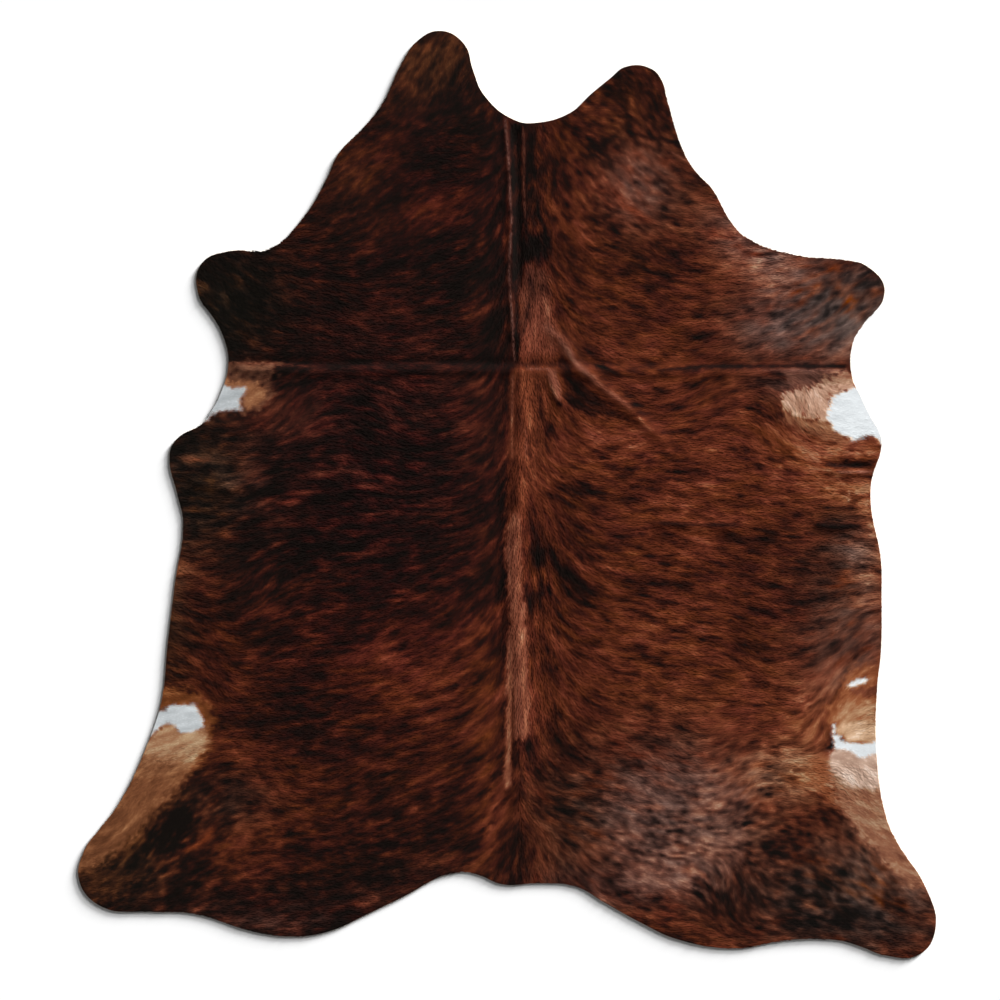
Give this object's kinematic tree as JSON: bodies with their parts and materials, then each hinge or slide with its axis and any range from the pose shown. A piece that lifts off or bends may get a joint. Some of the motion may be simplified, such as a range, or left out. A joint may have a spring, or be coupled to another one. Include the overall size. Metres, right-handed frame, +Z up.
{
  "type": "cowhide rug",
  "caption": "Whole hair-on cowhide floor rug lying flat: brown brindle coat, pale flank patches, neck tips, forelegs, hind legs and a short tail stub.",
  "frame": {"origin": "on the floor under the middle of the hide's bounding box", "axes": "+Y along the spine towards the neck, +X to the right seen from above with the neck away, +Z up out of the hair side"},
  "size_m": [2.1438, 2.3176, 0.009],
  "materials": {
    "hair_coat": "short glossy brindled hair, flat-lying",
    "flesh_side": "buffed suede underside and cut edge"
  },
  "bodies": {
    "root": {"cowhide": "hair_coat"}
  },
  "joints": []
}
